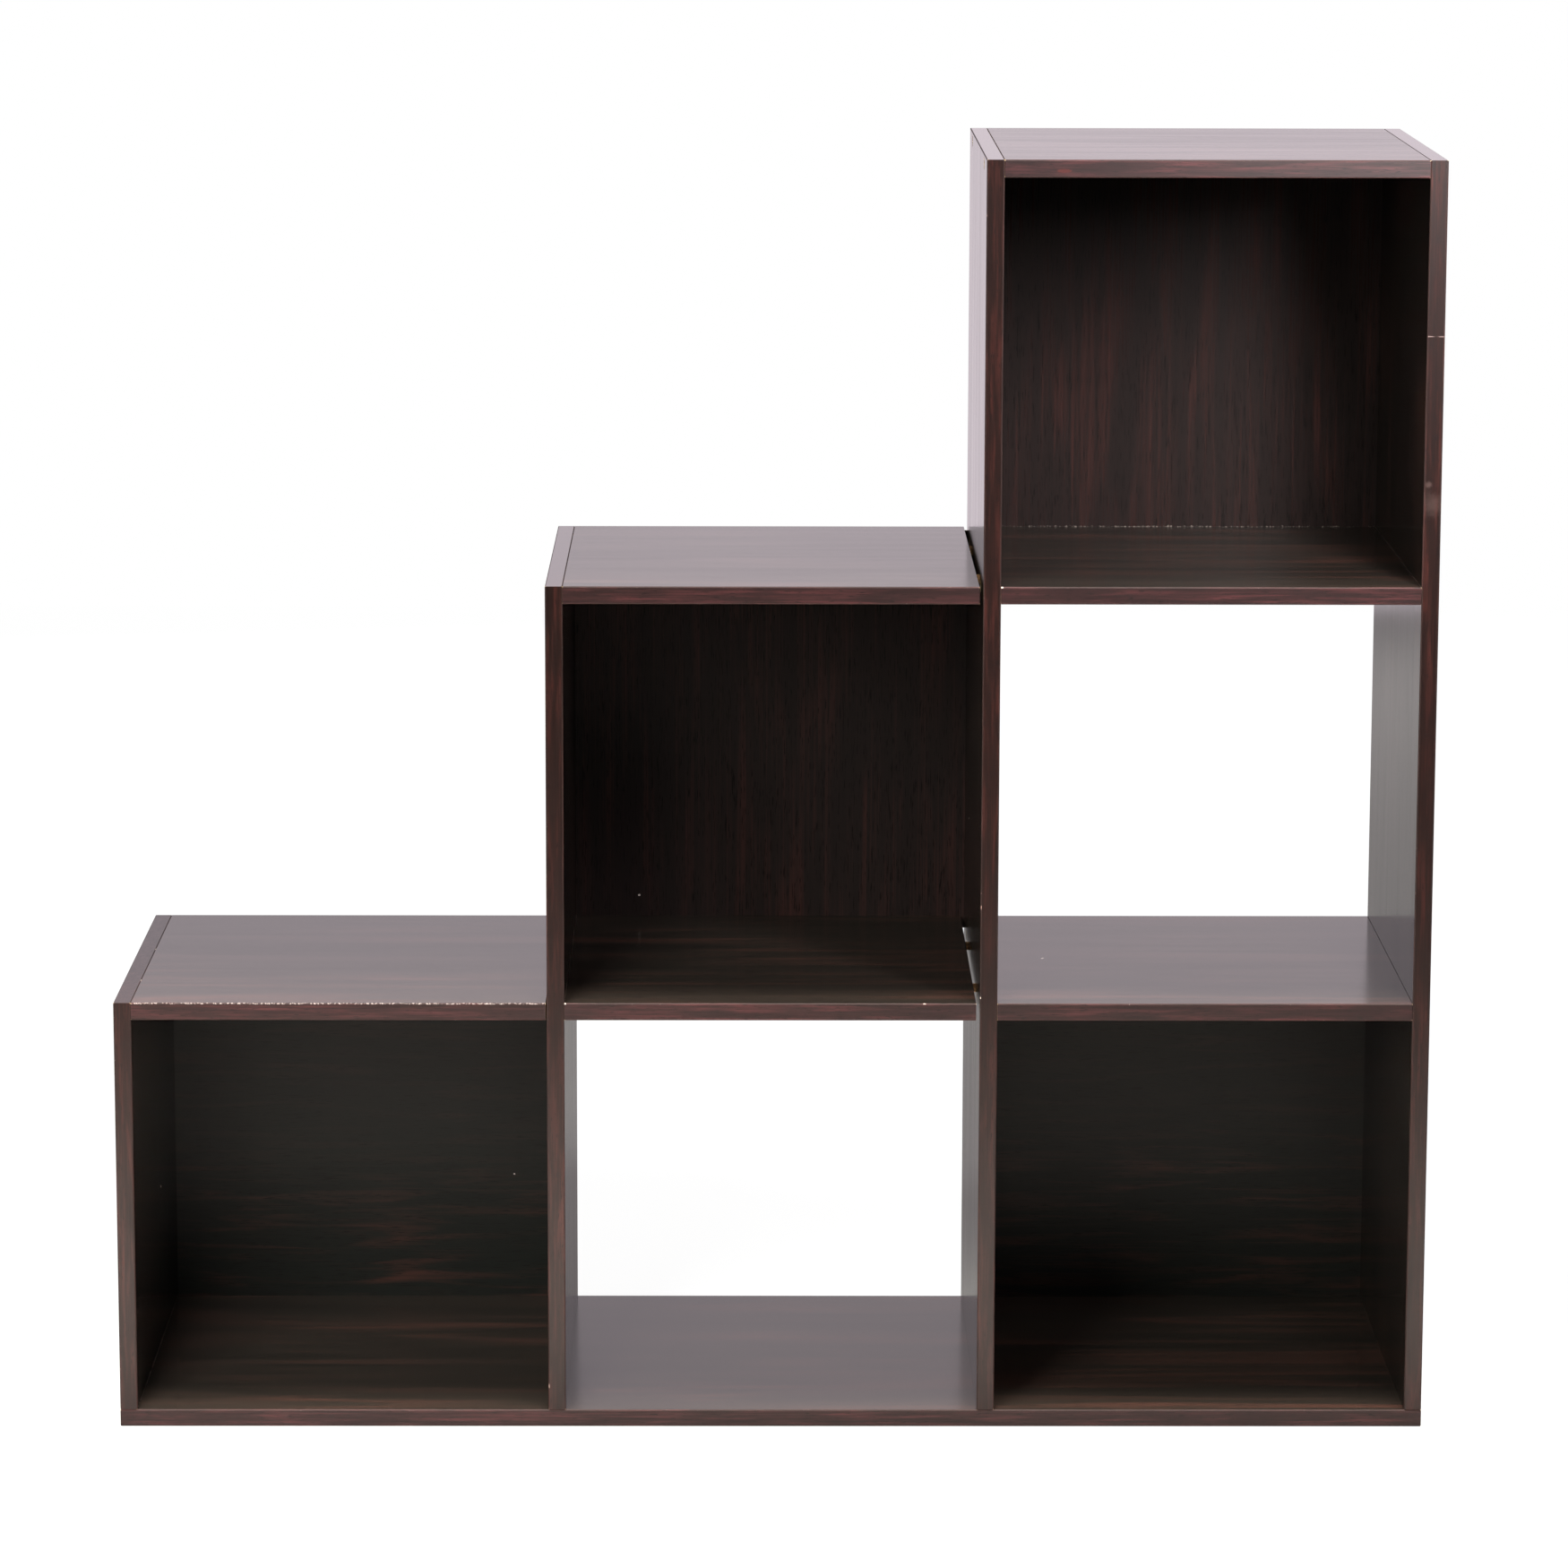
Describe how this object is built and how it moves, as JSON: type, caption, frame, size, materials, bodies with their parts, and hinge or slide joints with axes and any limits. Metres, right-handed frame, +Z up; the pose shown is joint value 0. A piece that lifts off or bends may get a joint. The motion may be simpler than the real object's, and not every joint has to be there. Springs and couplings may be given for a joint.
{
  "type": "staircase bookshelf",
  "caption": "Open-fronted cube bookshelf of dark wood-grain boards, stepped like a staircase that rises to the right, with thin backs in some of its cubes.",
  "frame": {"origin": "on the floor, under the centre of the whole part's bounding box", "axes": "+X to the right as seen from the front, +Y from the front to the back, +Z up"},
  "size_m": [0.9, 0.291, 0.876],
  "materials": {
    "laminate_board": "particleboard with a satin dark wood-grain laminate and matching edge band",
    "hardboard_back": "3 mm hardboard, dark wood-grain print on the front face",
    "steel_screw": "dark zinc-plated countersunk screw",
    "beech_dowel": "raw fluted beech"
  },
  "bodies": {
    "root": {"back_left_lower": "hardboard_back", "back_middle_upper": "hardboard_back", "back_right_lower": "hardboard_back", "back_right_upper": "hardboard_back", "bottom_board": "laminate_board", "left_top": "laminate_board", "left_top_left_dowel_front": "beech_dowel", "left_top_left_dowel_rear": "beech_dowel", "left_top_left_screw_front": "steel_screw", "left_top_left_screw_rear": "steel_screw", "middle_shelf": "laminate_board", "middle_shelf_left_screw_front": "steel_screw", "middle_shelf_left_screw_rear": "steel_screw", "middle_shelf_through_dowel_front": "beech_dowel", "middle_shelf_through_dowel_rear": "beech_dowel", "middle_top": "laminate_board", "middle_top_left_dowel_front": "beech_dowel", "middle_top_left_dowel_rear": "beech_dowel", "middle_top_left_screw_front": "steel_screw", "middle_top_left_screw_rear": "steel_screw", "right_lower_shelf": "laminate_board", "right_lower_shelf_left_screw_front": "steel_screw", "right_lower_shelf_left_screw_rear": "steel_screw", "right_lower_shelf_right_dowel_front": "beech_dowel", "right_lower_shelf_right_dowel_rear": "beech_dowel", "right_lower_shelf_right_screw_front": "steel_screw", "right_lower_shelf_right_screw_rear": "steel_screw", "right_lower_shelf_through_dowel_front": "beech_dowel", "right_lower_shelf_through_dowel_rear": "beech_dowel", "right_top": "laminate_board", "right_top_left_dowel_front": "beech_dowel", "right_top_left_dowel_rear": "beech_dowel", "right_top_left_screw_front": "steel_screw", "right_top_left_screw_rear": "steel_screw", "right_top_right_dowel_front": "beech_dowel", "right_top_right_dowel_rear": "beech_dowel", "right_top_right_screw_front": "steel_screw", "right_top_right_screw_rear": "steel_screw", "right_upper_shelf": "laminate_board", "right_upper_shelf_left_screw_front": "steel_screw", "right_upper_shelf_left_screw_rear": "steel_screw", "right_upper_shelf_right_dowel_front": "beech_dowel", "right_upper_shelf_right_dowel_rear": "beech_dowel", "right_upper_shelf_right_screw_front": "steel_screw", "right_upper_shelf_right_screw_rear": "steel_screw", "right_upper_shelf_through_dowel_front": "beech_dowel", "right_upper_shelf_through_dowel_rear": "beech_dowel", "upright_1": "laminate_board", "upright_1_foot_screw_front": "steel_screw", "upright_1_foot_screw_rear": "steel_screw", "upright_2": "laminate_board", "upright_2_foot_screw_front": "steel_screw", "upright_2_foot_screw_rear": "steel_screw", "upright_3": "laminate_board", "upright_3_foot_screw_front": "steel_screw", "upright_3_foot_screw_rear": "steel_screw", "upright_4": "laminate_board", "upright_4_foot_screw_front": "steel_screw", "upright_4_foot_screw_rear": "steel_screw"}
  },
  "joints": []
}
